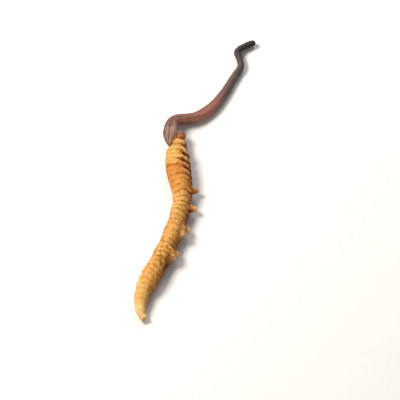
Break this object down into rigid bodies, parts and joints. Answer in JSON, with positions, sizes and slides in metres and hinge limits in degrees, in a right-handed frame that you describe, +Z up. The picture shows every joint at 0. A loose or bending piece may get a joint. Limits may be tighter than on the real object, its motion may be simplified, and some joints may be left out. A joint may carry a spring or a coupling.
{
  "type": "dried cordyceps",
  "caption": "Dried fungus-grown moth larva lying on its side: ringed body with leg stubs and head shell, and a bent fungus stalk from the head.",
  "frame": {"origin": "on the plane it lies on, under the middle of its outline", "axes": "+Z up from the plane, +Y towards the head and the stalk tip, +X towards the larva's belly and legs"},
  "size_m": [0.0264, 0.0715, 0.0045],
  "materials": {
    "dried_skin": "satin",
    "head_shell": "satin",
    "stalk_flesh": "matte"
  },
  "bodies": {
    "root": {"larva_body": "dried_skin", "head_capsule": "head_shell", "stalk": "stalk_flesh"}
  },
  "joints": []
}
